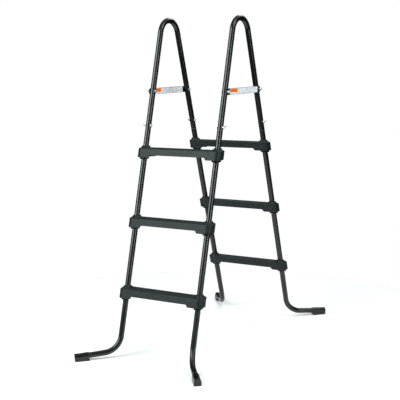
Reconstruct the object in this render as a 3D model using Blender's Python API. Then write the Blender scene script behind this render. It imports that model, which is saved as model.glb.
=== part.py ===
# A-frame ladder for an above-ground pool: two ladders of three treads lean together
# and share a pair of inverted-U handrails. Metres, +Z up, X across the treads, Y over
# the pool wall. The origin is on the ground, under the middle of the ladder.
import math

import bmesh
import bpy
from mathutils import Matrix, Vector

# Driving dimensions
FIRST_TREAD = 0.3002       # ground to the top of the first tread
RISER = 0.305
TREAD_COUNT = 3
LADDER_WIDTH = 0.3752      # between the left and right tube centres
LEAN = math.radians(15.75)  # each side from the vertical
HANDLE_TOP = 1.4796        # centreline height of the handrail's top bend
HANDLE_RADIUS = 0.074      # centreline radius of that bend
JOINT_HEIGHT = 0.9692      # where the handrail ends and the leg begins
HANDLE_BOLT_HEIGHT = 1.0085
STRAP_HEIGHT = 1.1602      # centre of the spreader plates

TUBE_OD = 0.0254
TUBE_WALL = 0.0012
SWAGE_LENGTH = 0.075       # reduced top end of a leg, inside the handrail
SHOULDER_LENGTH = 0.0025

FOOT_LENGTH = 0.2002       # from the leg's corner to the end of its cap
FOOT_SPLAY = math.radians(48)  # from the treads' direction
FOOT_TWIST = math.radians(3)   # both feet of a half turn the same way round
FOOT_DIP = math.radians(4)
FOOT_BEND_RADIUS = 0.086
FOOT_TIP_HEIGHT = 0.0172   # tube centre at the cap's end
CAP_LENGTH = 0.064
CAP_WALL = 0.0026
CAP_END_WALL = 0.004
CAP_EDGE = 0.0015

TREAD_DEPTH = 0.0637
TREAD_THICKNESS = 0.029
TREAD_OVERHANG = 0.0282    # past the tube centre, each end
END_THICKNESS = 0.0395     # the thicker ends that hold the tubes
HAUNCH_INSET = 0.0376      # from the tube centre to the flat of the thick end
HAUNCH_RUN = 0.0085
TREAD_CORNER = 0.026
TREAD_EDGE = 0.002
TREAD_SHELL = 0.0032
POCKET_RIB = 0.003
POCKET_COUNT = 4
BOSS_RISE = 0.0105
BOSS_BASE_RADIUS = 0.0262
BOSS_TOP_RADIUS = 0.0165

COLLAR_FLANGE_RADIUS = 0.0205
COLLAR_FLANGE_THICKNESS = 0.008
COLLAR_SLEEVE_WALL = 0.0028
COLLAR_DEPTH = 0.034       # of the sleeve, inside the tread's end

PLATE_HEIGHT = 0.0285
PLATE_THICKNESS = 0.0025
PLATE_END = 0.0095         # past the bolt centre
PLATE_CORNER = 0.0085
LABEL_LENGTH = 0.253
LABEL_HEIGHT = 0.0262
LABEL_THICKNESS = 0.0004

BOLT_RADIUS = 0.003
BOLT_HEAD_FLATS = 0.010
BOLT_HEAD_THICKNESS = 0.004
BOLT_END = 0.0025          # thread past the wing nut's hub
WASHER_RADIUS = 0.006
WASHER_THICKNESS = 0.0012
NUT_HUB_RADIUS = 0.0052
NUT_TOP_RADIUS = 0.0042
NUT_HUB_HEIGHT = 0.006
WING_SPAN = 0.022
WING_HEIGHT = 0.0115
WING_THICKNESS = 0.002
WING_TURN = math.radians(30)

GAP = 0.0003               # between pieces that touch
RUNNING_GAP = 0.0004       # round a bolt's shank
TUBE_SIDES = 12
BORE_SIDES = 16
BOLT_SIDES = 10
HANDLE_BEND_STEPS = 14
FOOT_BEND_STEPS = 7

# Sizes that follow from them
HALF_WIDTH = LADDER_WIDTH / 2
TUBE_R = TUBE_OD / 2
SWAGE_R = TUBE_R - TUBE_WALL - GAP
BEND_CENTRE_Z = HANDLE_TOP - HANDLE_RADIUS
TANGENT_Y = HANDLE_RADIUS * math.cos(LEAN)
TANGENT_Z = BEND_CENTRE_Z + HANDLE_RADIUS * math.sin(LEAN)
CORNER_HEIGHT = FOOT_TIP_HEIGHT + FOOT_LENGTH * math.sin(FOOT_DIP)
SLIDE_R = (TUBE_R + GAP) / math.cos(math.pi / BORE_SIDES)   # bore that slides on a tube
SLEEVE_R = SLIDE_R + COLLAR_SLEEVE_WALL
COUNTERBORE_R = SLEEVE_R + GAP
BOLT_HOLE_R = (BOLT_RADIUS + RUNNING_GAP) / math.cos(math.pi / BOLT_SIDES)
CAP_R = SLIDE_R + CAP_WALL
WING_ROOT = (BOLT_HOLE_R * 2 + NUT_TOP_RADIUS) / 3         # inside the hub's wall

SIDES = {"left": -1, "right": 1}
ENDS = {"front": -1, "rear": 1}
LEVELS = ["low", "middle", "top"]


def leg_y(height):
    """Distance from the middle plane to a leg's centreline at this height."""
    return TANGENT_Y + (TANGENT_Z - height) * math.tan(LEAN)


def leg_point(side, end, height):
    return Vector((side * HALF_WIDTH, end * leg_y(height), height))


def clear_scene():
    for obj in list(bpy.data.objects):
        bpy.data.objects.remove(obj, do_unlink=True)


def make_material(name, colour, roughness, metallic=0.0):
    material = bpy.data.materials.new(name)
    material.use_nodes = True
    shader = material.node_tree.nodes["Principled BSDF"]
    shader.inputs["Base Color"].default_value = (*colour, 1.0)
    shader.inputs["Roughness"].default_value = roughness
    shader.inputs["Metallic"].default_value = metallic
    return material


def add_object(name, mesh, material, matrix=Matrix.Identity(4)):
    obj = bpy.data.objects.new(name, mesh)
    bpy.context.scene.collection.objects.link(obj)
    obj.matrix_world = matrix
    if material and not mesh.materials:
        mesh.materials.append(material)
    return obj


def finish_mesh(bm, name, merge=0.0):
    """Turns a bmesh into a smooth-shaded mesh with its faces pointing out."""
    if merge:
        bmesh.ops.remove_doubles(bm, verts=bm.verts, dist=merge)
    bmesh.ops.recalc_face_normals(bm, faces=bm.faces)
    mesh = bpy.data.meshes.new(name)
    bm.to_mesh(mesh)
    bm.free()
    mesh.shade_smooth()
    mesh.set_sharp_from_angle(angle=math.radians(35))
    return mesh


def apply_boolean(mesh, operation, others):
    """Cuts or joins meshes, all in the same place, and gives the resulting mesh."""
    base = add_object("base", mesh, None)
    helpers = [base]
    for other in others:
        helper = add_object("helper", other, None)
        helper.hide_render = True
        helper.display_type = "WIRE"
        modifier = base.modifiers.new("boolean", "BOOLEAN")
        modifier.operation = operation
        modifier.object = helper
        helpers.append(helper)
    bpy.context.view_layer.update()
    evaluated = base.evaluated_get(bpy.context.evaluated_depsgraph_get())
    result = bpy.data.meshes.new_from_object(evaluated)
    result.shade_smooth()
    result.set_sharp_from_angle(angle=math.radians(35))
    for helper in helpers:
        bpy.data.objects.remove(helper, do_unlink=True)
    return result


def axes_matrix(x_axis, z_axis, origin):
    """A frame with +Z along z_axis and +X near x_axis."""
    z = Vector(z_axis).normalized()
    y = z.cross(Vector(x_axis)).normalized()
    x = y.cross(z)
    matrix = Matrix((x, y, z)).transposed().to_4x4()
    matrix.translation = origin
    return matrix


def cylinder_mesh(radius, start, stop, sides=BORE_SIDES, end_radius=None):
    """A cylinder or cone between two points."""
    bm = bmesh.new()
    axis = Vector(stop) - Vector(start)
    side = Vector((0, 0, 1)) if abs(axis.normalized().z) < 0.9 else Vector((1, 0, 0))
    bmesh.ops.create_cone(
        bm, cap_ends=True, segments=sides, radius1=radius,
        radius2=radius if end_radius is None else end_radius, depth=axis.length,
        matrix=axes_matrix(side, axis, (Vector(start) + Vector(stop)) / 2))
    return finish_mesh(bm, "cylinder")


def box_mesh(low, high, edge=0.0, axis=None):
    """A box between two corners; its edges along one axis, or all, may be rounded."""
    low, high = Vector(low), Vector(high)
    bm = bmesh.new()
    scale = Matrix.Diagonal((*(high - low), 1.0))
    bmesh.ops.create_cube(bm, size=1, matrix=Matrix.Translation((low + high) / 2) @ scale)
    if edge:
        edges = [e for e in bm.edges if axis is None
                 or abs((e.verts[0].co - e.verts[1].co)[axis]) > 1e-6]
        bmesh.ops.bevel(bm, geom=edges, offset=edge, segments=3, profile=0.5,
                        affect="EDGES", clamp_overlap=True)
    return finish_mesh(bm, "box")


def turned_mesh(profile, sides):
    """Turns a closed outline of (radius, height) points about Z."""
    bm = bmesh.new()
    corners = [bm.verts.new((radius, 0, height)) for radius, height in profile]
    edges = [bm.edges.new((a, b)) for a, b in zip(corners, corners[1:] + corners[:1])]
    bmesh.ops.spin(bm, geom=edges + corners, cent=(0, 0, 0), axis=(0, 0, 1),
                   dvec=(0, 0, 0), angle=2 * math.pi, steps=sides, use_merge=True)
    return finish_mesh(bm, "turned", merge=1e-6)


# Tubes

def start_tube(bm, centre, direction, across, outer, inner):
    """The tube's first end: a flat ring of faces to extrude."""
    frame = axes_matrix(across, direction, centre)
    rims = []
    for radius in (outer, inner):
        made = bmesh.ops.create_circle(bm, segments=TUBE_SIDES, radius=radius, matrix=frame)
        rims += list({edge for vert in made["verts"] for edge in vert.link_edges})
    return bmesh.ops.bridge_loops(bm, edges=rims)["faces"]


def with_borders(faces):
    """The faces with their edges and corners, so that an extrusion leaves none inside."""
    edges = {edge for face in faces for edge in face.edges}
    verts = {vert for face in faces for vert in face.verts}
    return list(faces) + list(edges) + list(verts)


def run_tube(bm, faces, direction, length):
    made = bmesh.ops.extrude_face_region(bm, geom=with_borders(faces))["geom"]
    verts = [item for item in made if isinstance(item, bmesh.types.BMVert)]
    bmesh.ops.translate(bm, verts=verts, vec=Vector(direction).normalized() * length)
    return [item for item in made if isinstance(item, bmesh.types.BMFace)]


def bend_tube(bm, faces, centre, axis, angle, steps):
    made = bmesh.ops.spin(bm, geom=with_borders(faces), cent=centre, axis=axis, dvec=(0, 0, 0),
                          angle=angle, steps=steps, use_merge=False)["geom_last"]
    return [item for item in made if isinstance(item, bmesh.types.BMFace)]


def resize_end(faces, centre, direction, old, new):
    """Moves the ring that was made last from its old outer and inner radius to new ones."""
    direction = Vector(direction).normalized()
    for vert in {vert for face in faces for vert in face.verts}:
        out = vert.co - centre
        spoke = out - direction * out.dot(direction)
        outer = abs(spoke.length - old[0]) < abs(spoke.length - old[1])
        vert.co += spoke.normalized() * ((new[0] - old[0]) if outer else (new[1] - old[1]))


def make_handrail(side):
    start = leg_point(side, -1, JOINT_HEIGHT)
    rise = Vector((0, math.sin(LEAN), math.cos(LEAN)))
    fall = Vector((0, math.sin(LEAN), -math.cos(LEAN)))
    length = (TANGENT_Z - JOINT_HEIGHT) / math.cos(LEAN)
    bm = bmesh.new()
    faces = start_tube(bm, start, rise, (1, 0, 0), TUBE_R, TUBE_R - TUBE_WALL)
    faces = run_tube(bm, faces, rise, length)
    centre = (side * HALF_WIDTH, 0, BEND_CENTRE_Z)
    faces = bend_tube(bm, faces, centre, (-1, 0, 0), math.pi - 2 * LEAN, HANDLE_BEND_STEPS)
    run_tube(bm, faces, fall, length)
    holes = []
    for end in (-1, 1):
        for height in (HANDLE_BOLT_HEIGHT, STRAP_HEIGHT):
            holes.append(bolt_hole(side, end, height))
    return apply_boolean(finish_mesh(bm, "handrail"), "DIFFERENCE", holes)


def bolt_hole(side, end, height):
    middle = leg_point(side, end, height)
    reach = Vector((TUBE_OD, 0, 0))
    return cylinder_mesh(BOLT_HOLE_R, middle - reach, middle + reach, BOLT_SIDES)


def foot_direction(side, end):
    splay = FOOT_SPLAY - side * end * FOOT_TWIST
    level = math.cos(FOOT_DIP)
    return Vector((side * math.cos(splay) * level, end * math.sin(splay) * level,
                   -math.sin(FOOT_DIP)))


def make_leg(side, end):
    down = Vector((0, end * math.sin(LEAN), -math.cos(LEAN)))
    foot = foot_direction(side, end)
    corner = leg_point(side, end, CORNER_HEIGHT)
    turn = down.angle(foot)
    tangent = FOOT_BEND_RADIUS * math.tan(turn / 2)
    joint = leg_point(side, end, JOINT_HEIGHT)
    start = joint - down * SWAGE_LENGTH
    bend_start = corner - down * tangent
    bm = bmesh.new()
    faces = start_tube(bm, start, down, (1, 0, 0), SWAGE_R, SWAGE_R - TUBE_WALL)
    faces = run_tube(bm, faces, down, SWAGE_LENGTH + GAP)
    faces = run_tube(bm, faces, down, SHOULDER_LENGTH)
    shoulder = joint + down * (GAP + SHOULDER_LENGTH)
    resize_end(faces, shoulder, down, (SWAGE_R, SWAGE_R - TUBE_WALL),
               (TUBE_R, TUBE_R - TUBE_WALL))
    faces = run_tube(bm, faces, down, (bend_start - shoulder).length)
    inward = (foot - down * foot.dot(down)).normalized()
    centre = bend_start + inward * FOOT_BEND_RADIUS
    faces = bend_tube(bm, faces, centre, down.cross(foot).normalized(), turn,
                      FOOT_BEND_STEPS)
    run_tube(bm, faces, foot, FOOT_LENGTH - tangent - CAP_END_WALL - GAP)
    hole = bolt_hole(side, end, HANDLE_BOLT_HEIGHT)
    return apply_boolean(finish_mesh(bm, "leg"), "DIFFERENCE", [hole])


# Treads and their collars

def tread_height(level):
    return FIRST_TREAD + RISER * level


def lean_matrix(end):
    """Leans an upright shape so that its sides run along the tubes."""
    matrix = Matrix.Identity(4)
    matrix[1][2] = -end * math.tan(LEAN)
    return matrix


def round_tube_matrix(side=0):
    """Widens an upright turned shape so that it is round about the leaning tube."""
    return (Matrix.Translation((side * HALF_WIDTH, 0, 0))
            @ Matrix.Diagonal((1, 1 / math.cos(LEAN), 1, 1)))


def moved(mesh, matrix):
    mesh.transform(matrix)
    return mesh


def tread_blank():
    """The tread's outline from the front, extruded through its depth, with round ends."""
    end_x = HALF_WIDTH + TREAD_OVERHANG
    flat_x = HALF_WIDTH - HAUNCH_INSET
    outline = [(-end_x, 0), (end_x, 0), (end_x, -END_THICKNESS), (flat_x, -END_THICKNESS),
               (flat_x - HAUNCH_RUN, -TREAD_THICKNESS), (HAUNCH_RUN - flat_x, -TREAD_THICKNESS),
               (-flat_x, -END_THICKNESS), (-end_x, -END_THICKNESS)]
    bm = bmesh.new()
    face = bm.faces.new([bm.verts.new((x, -TREAD_DEPTH / 2, z)) for x, z in outline])
    made = bmesh.ops.extrude_face_region(bm, geom=[face])["geom"]
    verts = [item for item in made if isinstance(item, bmesh.types.BMVert)]
    bmesh.ops.translate(bm, verts=verts, vec=(0, TREAD_DEPTH, 0))
    uprights = [edge for edge in bm.edges
                if all(abs(abs(vert.co.x) - end_x) < 1e-6 for vert in edge.verts)
                and abs(edge.verts[0].co.z - edge.verts[1].co.z) > 1e-6]
    bmesh.ops.bevel(bm, geom=uprights, offset=TREAD_CORNER, segments=5, profile=0.5,
                    affect="EDGES")
    rim = [edge for edge in bm.edges if all(abs(vert.co.z) < 1e-6 for vert in edge.verts)]
    bmesh.ops.bevel(bm, geom=rim, offset=TREAD_EDGE, segments=2, profile=0.5, affect="EDGES")
    return finish_mesh(bm, "tread")


def tread_pockets():
    """The hollows under the tread, with ribs left between them."""
    half = HALF_WIDTH - HAUNCH_INSET - HAUNCH_RUN - TREAD_SHELL
    deep = TREAD_DEPTH / 2 - TREAD_SHELL
    width = (2 * half - (POCKET_COUNT - 1) * POCKET_RIB) / POCKET_COUNT
    pockets = []
    for index in range(POCKET_COUNT):
        low = -half + index * (width + POCKET_RIB)
        pockets.append(box_mesh((low, -deep, -TREAD_THICKNESS - TUBE_R),
                                (low + width, deep, -TREAD_SHELL)))
    return pockets


def make_tread(end):
    bosses, cuts = [], tread_pockets()
    for side in (-1, 1):
        boss = cylinder_mesh(BOSS_BASE_RADIUS, (0, 0, -TREAD_SHELL), (0, 0, BOSS_RISE),
                             end_radius=BOSS_TOP_RADIUS)
        bosses.append(moved(boss, round_tube_matrix(side)))
        bore = cylinder_mesh(SLIDE_R, (0, 0, -END_THICKNESS), (0, 0, 2 * BOSS_RISE))
        cuts.append(moved(bore, round_tube_matrix(side)))
        seat = cylinder_mesh(COUNTERBORE_R, (0, 0, -2 * END_THICKNESS),
                             (0, 0, GAP + COLLAR_DEPTH - END_THICKNESS))
        cuts.append(moved(seat, round_tube_matrix(side)))
    mesh = apply_boolean(tread_blank(), "UNION", bosses)
    return moved(apply_boolean(mesh, "DIFFERENCE", cuts), lean_matrix(end))


def make_collar(end):
    base = -END_THICKNESS - GAP
    top = base + COLLAR_DEPTH
    mesh = turned_mesh([(SLIDE_R, top), (SLEEVE_R, top), (SLEEVE_R, base),
                        (COLLAR_FLANGE_RADIUS, base),
                        (COLLAR_FLANGE_RADIUS, base - COLLAR_FLANGE_THICKNESS),
                        (SLIDE_R, base - COLLAR_FLANGE_THICKNESS)], BORE_SIDES)
    return moved(moved(mesh, round_tube_matrix()), lean_matrix(end))


# Foot caps

def cap_section(bm, back):
    """One cross-section, square to the tube, this far in from the cap's end."""
    height = FOOT_TIP_HEIGHT + back * math.tan(FOOT_DIP)
    steps = 10
    points = [(-CAP_R, 0), (CAP_R, 0)]
    for index in range(steps + 1):
        angle = math.pi * index / steps
        points.append((CAP_R * math.cos(angle), height + CAP_R * math.sin(angle)))
    verts = [bm.verts.new(((z - height) * math.tan(FOOT_DIP) - back, y, z)) for y, z in points]
    return [bm.edges.new((a, b)) for a, b in zip(verts, verts[1:] + verts[:1])]


def make_cap():
    bm = bmesh.new()
    end_loop = cap_section(bm, 0.0)
    bmesh.ops.bridge_loops(bm, edges=end_loop + cap_section(bm, CAP_LENGTH))
    bmesh.ops.holes_fill(bm, edges=bm.edges, sides=0)
    bmesh.ops.bevel(bm, geom=end_loop, offset=CAP_EDGE, segments=2, profile=0.5, affect="EDGES")
    along = Vector((-math.cos(FOOT_DIP), 0, math.sin(FOOT_DIP)))
    tip = Vector((0, 0, FOOT_TIP_HEIGHT))
    bore = cylinder_mesh(SLIDE_R, tip + along * CAP_END_WALL, tip + along * 2 * CAP_LENGTH)
    return apply_boolean(finish_mesh(bm, "cap"), "DIFFERENCE", [bore])


def place_cap(side, end):
    foot = foot_direction(side, end)
    tip = leg_point(side, end, CORNER_HEIGHT) + foot * FOOT_LENGTH
    return Matrix.Translation((tip.x, tip.y, 0)) @ Matrix.Rotation(math.atan2(foot.y, foot.x), 4, "Z")


# Spreader plates, labels, bolts, washers and wing nuts

def make_plate():
    """Upright plate in the YZ plane, with its inner face at x = 0."""
    reach = leg_y(STRAP_HEIGHT) + PLATE_END
    plate = box_mesh((0, -reach, -PLATE_HEIGHT / 2), (PLATE_THICKNESS, reach, PLATE_HEIGHT / 2),
                     edge=PLATE_CORNER, axis=0)
    holes = []
    for end in (-1, 1):
        centre = Vector((0, end * leg_y(STRAP_HEIGHT), 0))
        reach_x = Vector((TUBE_OD, 0, 0))
        holes.append(cylinder_mesh(BOLT_HOLE_R, centre - reach_x, centre + reach_x, BOLT_SIDES))
    return apply_boolean(plate, "DIFFERENCE", holes)


def plate_start():
    """How far out the spreader plate's inner face is."""
    return HALF_WIDTH + TUBE_R + GAP


def stack_start(height):
    """How far out the washer's inner face is."""
    if height == STRAP_HEIGHT:
        return plate_start() + PLATE_THICKNESS + GAP
    return HALF_WIDTH + TUBE_R + GAP


def nut_start(height):
    return stack_start(height) + WASHER_THICKNESS + GAP


def make_bolt(height):
    """Hex bolt along +X: the head on the ladder's inner side, the thread's end outside."""
    head_in = HALF_WIDTH - TUBE_R - GAP
    head = cylinder_mesh(BOLT_HEAD_FLATS / 2 / math.cos(math.pi / 6),
                         (head_in - BOLT_HEAD_THICKNESS, 0, 0), (head_in, 0, 0), 6)
    shank = cylinder_mesh(BOLT_RADIUS, (head_in - BOLT_HEAD_THICKNESS / 2, 0, 0),
                          (nut_start(height) + NUT_HUB_HEIGHT + BOLT_END, 0, 0), BOLT_SIDES)
    return apply_boolean(head, "UNION", [shank])


def make_washer():
    return turned_mesh([(BOLT_HOLE_R, 0), (WASHER_RADIUS, 0), (WASHER_RADIUS, WASHER_THICKNESS),
                        (BOLT_HOLE_R, WASHER_THICKNESS)], BOLT_SIDES)


def stack_point(side, end, height, out):
    return Vector((side * out, end * leg_y(height), height))


def make_wing(side):
    """One wing: a flat plate that flares out and up from the hub."""
    tip, edge = WING_SPAN / 2, WING_THICKNESS / 2
    outline = [(WING_ROOT, NUT_HUB_HEIGHT * 0.3), (tip - 2 * edge, NUT_HUB_HEIGHT * 0.75),
               (tip, WING_HEIGHT - 2 * edge), (tip - edge, WING_HEIGHT),
               (tip - 4 * edge, WING_HEIGHT - edge), (WING_ROOT, NUT_HUB_HEIGHT * 0.92)]
    bm = bmesh.new()
    face = bm.faces.new([bm.verts.new((side * x, -edge, z)) for x, z in outline])
    made = bmesh.ops.extrude_face_region(bm, geom=[face])["geom"]
    verts = [item for item in made if isinstance(item, bmesh.types.BMVert)]
    bmesh.ops.translate(bm, verts=verts, vec=(0, 2 * edge, 0))
    return finish_mesh(bm, "wing")


def make_wing_nut():
    """Wing nut with its axis on Z, standing on z = 0, with its wings along X."""
    hub = turned_mesh([(BOLT_HOLE_R, 0), (NUT_HUB_RADIUS, 0), (NUT_TOP_RADIUS, NUT_HUB_HEIGHT),
                       (BOLT_HOLE_R, NUT_HUB_HEIGHT)], BOLT_SIDES)
    return apply_boolean(hub, "UNION", [make_wing(-1), make_wing(1)])


def place_nut(side, end, height):
    """Turns the wing nut's axis outwards, with its outer wing tipped up at the rear."""
    where = stack_point(side, end, height, nut_start(height))
    across = Vector((0, math.cos(WING_TURN), side * math.sin(WING_TURN)))
    return axes_matrix(across, (side, 0, 0), where)


def build_frame(paint):
    for side_name, side in SIDES.items():
        add_object(f"handrail_{side_name}", make_handrail(side), paint)
        for end_name, end in ENDS.items():
            add_object(f"leg_{end_name}_{side_name}", make_leg(side, end), paint)


def build_treads(plastic, dark_plastic):
    for end_name, end in ENDS.items():
        tread, collar = make_tread(end), make_collar(end)
        for level in range(TREAD_COUNT):
            height = tread_height(level)
            place = Matrix.Translation((0, end * leg_y(height), height))
            add_object(f"tread_{end_name}_{LEVELS[level]}", tread, plastic, place)
            for side_name, side in SIDES.items():
                add_object(f"collar_{end_name}_{LEVELS[level]}_{side_name}", collar, dark_plastic,
                           Matrix.Translation((side * HALF_WIDTH, 0, 0)) @ place)


def build_feet(rubber):
    cap = make_cap()
    for end_name, end in ENDS.items():
        for side_name, side in SIDES.items():
            add_object(f"foot_cap_{end_name}_{side_name}", cap, rubber, place_cap(side, end))


def build_plates(black_plastic, label_film):
    plate = make_plate()
    label = box_mesh((0, -LABEL_LENGTH / 2, -LABEL_HEIGHT / 2),
                     (LABEL_THICKNESS, LABEL_LENGTH / 2, LABEL_HEIGHT / 2))
    for side_name, side in SIDES.items():
        inner = Matrix.Translation((side * plate_start(), 0, STRAP_HEIGHT))
        turn = Matrix.Identity(4) if side > 0 else Matrix.Rotation(math.pi, 4, "Z")
        add_object(f"spreader_plate_{side_name}", plate, black_plastic, inner @ turn)
        face_x = PLATE_THICKNESS + GAP if side > 0 else GAP
        label_at = Matrix.Translation((side * plate_start() + face_x, 0, STRAP_HEIGHT))
        add_object(f"label_{side_name}", label, label_film, label_at)


def build_fasteners(zinc):
    nut, washer = make_wing_nut(), make_washer()
    for kind, height in (("handle", HANDLE_BOLT_HEIGHT), ("strap", STRAP_HEIGHT)):
        bolt = make_bolt(height)
        for end_name, end in ENDS.items():
            for side_name, side in SIDES.items():
                turn = Matrix.Identity(4) if side > 0 else Matrix.Rotation(math.pi, 4, "Z")
                place = Matrix.Translation((0, end * leg_y(height), height)) @ turn
                add_object(f"{kind}_bolt_{end_name}_{side_name}", bolt, zinc, place)
                washer_at = stack_point(side, end, height, stack_start(height))
                add_object(f"{kind}_washer_{end_name}_{side_name}", washer, zinc,
                           axes_matrix((0, 0, 1), (side, 0, 0), washer_at))
                add_object(f"{kind}_wing_nut_{end_name}_{side_name}", nut, zinc,
                           place_nut(side, end, height))


def main():
    clear_scene()
    paint = make_material("black powder coat", (0.018, 0.019, 0.019), 0.42)
    plastic = make_material("charcoal moulded plastic", (0.045, 0.048, 0.048), 0.55)
    dark_plastic = make_material("black moulded plastic", (0.012, 0.012, 0.012), 0.5)
    rubber = make_material("black foot rubber", (0.02, 0.02, 0.02), 0.6)
    zinc = make_material("bright zinc plate", (0.75, 0.76, 0.78), 0.3, 1.0)
    label_film = make_material("white label film", (0.75, 0.77, 0.8), 0.35)
    build_frame(paint)
    build_treads(plastic, dark_plastic)
    build_feet(rubber)
    build_plates(dark_plastic, label_film)
    build_fasteners(zinc)


main()
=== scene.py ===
# The visible pieces of an above-ground pool ladder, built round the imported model. Metres, +Z up.
import math

import bmesh
import bpy
from mathutils import Matrix, Vector


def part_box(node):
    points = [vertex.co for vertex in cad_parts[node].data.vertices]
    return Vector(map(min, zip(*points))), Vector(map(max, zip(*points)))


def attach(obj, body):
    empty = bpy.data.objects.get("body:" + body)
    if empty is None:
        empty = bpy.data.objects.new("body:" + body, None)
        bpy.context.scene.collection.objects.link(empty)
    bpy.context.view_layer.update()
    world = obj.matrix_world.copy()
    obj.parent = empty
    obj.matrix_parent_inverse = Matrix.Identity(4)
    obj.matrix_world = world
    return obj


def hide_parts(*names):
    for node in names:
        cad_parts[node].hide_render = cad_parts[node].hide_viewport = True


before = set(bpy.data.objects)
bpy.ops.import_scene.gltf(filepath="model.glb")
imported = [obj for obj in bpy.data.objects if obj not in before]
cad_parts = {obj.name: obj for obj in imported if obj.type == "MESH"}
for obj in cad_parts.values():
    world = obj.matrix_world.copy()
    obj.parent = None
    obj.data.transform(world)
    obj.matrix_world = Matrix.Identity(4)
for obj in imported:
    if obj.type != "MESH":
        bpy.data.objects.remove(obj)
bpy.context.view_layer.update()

print("stage: packed model loaded")

ends = {"front": -1, "rear": 1}
sides = {"left": -1, "right": 1}
levels = ["low", "middle", "top"]


# Places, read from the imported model

def boxCentre(node):
    low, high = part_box(node)
    return (low + high) / 2


railLow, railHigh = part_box("handrail_right")
tubeRadius = (railHigh.x - railLow.x) / 2
halfWidth = (railHigh.x + railLow.x) / 2
lowerBolt = boxCentre("handle_bolt_front_right")
upperBolt = boxCentre("strap_bolt_front_right")
lean = math.atan2(upperBolt.y - lowerBolt.y, upperBolt.z - lowerBolt.z)   # of each half, from upright
jointHeight = railLow.z + tubeRadius * math.sin(lean)   # where the handrail ends and the leg begins


def tubePoint(side, end, height):   # on a tube's centreline, below the top bend
    reach = -lowerBolt.y + (lowerBolt.z - height) * math.tan(lean)
    return Vector((side * halfWidth, end * reach, height))


def turnTo(along, across=(1, 0, 0), origin=(0, 0, 0)):   # +Z turned along, +X kept near across
    z = Vector(along).normalized()
    y = z.cross(Vector(across)).normalized()
    turned = Matrix((y.cross(z), y, z)).transposed().to_4x4()
    turned.translation = origin
    return turned


# Meshes

near = 1e-6   # two points closer than this are one
smoothing = {"sharpAngle": math.radians(32), "bevelAngle": math.radians(40), "bevelSegments": 3}


def meshFrom(bm, name):
    bmesh.ops.remove_doubles(bm, verts=bm.verts, dist=near)
    bmesh.ops.recalc_face_normals(bm, faces=bm.faces)
    mesh = bpy.data.meshes.new(name)
    bm.to_mesh(mesh)
    bm.free()
    return mesh


def combine(base, operation, others):   # joins or cuts meshes that lie in the same place
    made = [bpy.data.objects.new("helper", mesh) for mesh in [base, *others]]
    for helper in made:
        bpy.context.scene.collection.objects.link(helper)
    for helper in made[1:]:
        cut = made[0].modifiers.new("cut", "BOOLEAN")
        cut.operation = operation
        cut.object = helper
    bpy.context.view_layer.update()
    result = bpy.data.meshes.new_from_object(made[0].evaluated_get(bpy.context.evaluated_depsgraph_get()))
    for helper in made:
        bpy.data.objects.remove(helper, do_unlink=True)
    return result


def addPiece(name, mesh, material, replaced, place=None, body="ladder", edge=0.0):
    mesh = mesh.copy()
    if place:
        mesh.transform(place)
    mesh.materials.clear()
    mesh.materials.append(material)
    mesh.shade_smooth()
    mesh.set_sharp_from_angle(angle=smoothing["sharpAngle"])
    piece = bpy.data.objects.new(name, mesh)
    bpy.context.scene.collection.objects.link(piece)
    if edge:
        rounding = piece.modifiers.new("rounded edges", "BEVEL")
        rounding.width = edge
        rounding.segments = smoothing["bevelSegments"]
        rounding.limit_method = "ANGLE"
        rounding.angle_limit = smoothing["bevelAngle"]
    normals = piece.modifiers.new("flat faces stay flat", "WEIGHTED_NORMAL")
    normals.keep_sharp = True
    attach(piece, body)
    if replaced:
        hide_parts(*replaced)


def turnedPart(profile, steps):   # spins a closed outline of (radius, height) points about Z
    bm = bmesh.new()
    corners = [bm.verts.new((radius, 0, height)) for radius, height in profile]
    outline = [bm.edges.new(pair) for pair in zip(corners, corners[1:] + corners[:1])]
    bmesh.ops.spin(bm, geom=corners + outline, cent=(0, 0, 0), axis=(0, 0, 1), dvec=(0, 0, 0),
                   angle=2 * math.pi, steps=steps, use_merge=True)
    return bm


def block(low, high):   # between two opposite corners
    low, high = Vector(low), Vector(high)
    bm = bmesh.new()
    bmesh.ops.create_cube(bm, size=1, matrix=Matrix.Translation((low + high) / 2)
                          @ Matrix.Diagonal((*(high - low), 1)))
    return bm


def roundEdges(bm, edges, offset, segments=4):
    bmesh.ops.bevel(bm, geom=edges, offset=offset, segments=segments, profile=0.5,
                    affect="EDGES", material=-1, clamp_overlap=True)


def edgesAlong(bm, axis):   # the straight edges that run along X, Y or Z
    return [edge for edge in bm.edges
            if abs((edge.verts[0].co - edge.verts[1].co).normalized()[axis]) > 0.999]


# Materials

def hexColour(text):   # "#rrggbb" in sRGB to linear
    channels = [int(text[i:i + 2], 16) / 255 for i in (1, 3, 5)]
    return (*[c / 12.92 if c <= 0.04045 else ((c + 0.055) / 1.055) ** 2.4 for c in channels], 1.0)


def addNode(tree, kind, inputs=None, **settings):
    node = tree.nodes.new(kind)
    for name, value in settings.items():
        setattr(node, name, value)
    for name, value in (inputs or {}).items():
        if isinstance(value, bpy.types.NodeSocket):
            tree.links.new(value, node.inputs[name])
        else:
            node.inputs[name].default_value = value
    return node


def newMaterial(name, **shaderInputs):   # with the shader's own sockets set
    material = bpy.data.materials.new(name)
    material.use_nodes = True
    tree = material.node_tree
    shader = tree.nodes["Principled BSDF"]
    for socket, value in shaderInputs.items():
        shader.inputs[socket.replace("_", " ")].default_value = value
    place = addNode(tree, "ShaderNodeTexCoord").outputs["Object"]
    return material, tree, shader, place


def feedShader(tree, shader, **sources):   # links each source to the shader's socket of that name
    for socket, source in sources.items():
        tree.links.new(source, shader.inputs[socket.replace("_", " ")])


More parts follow.
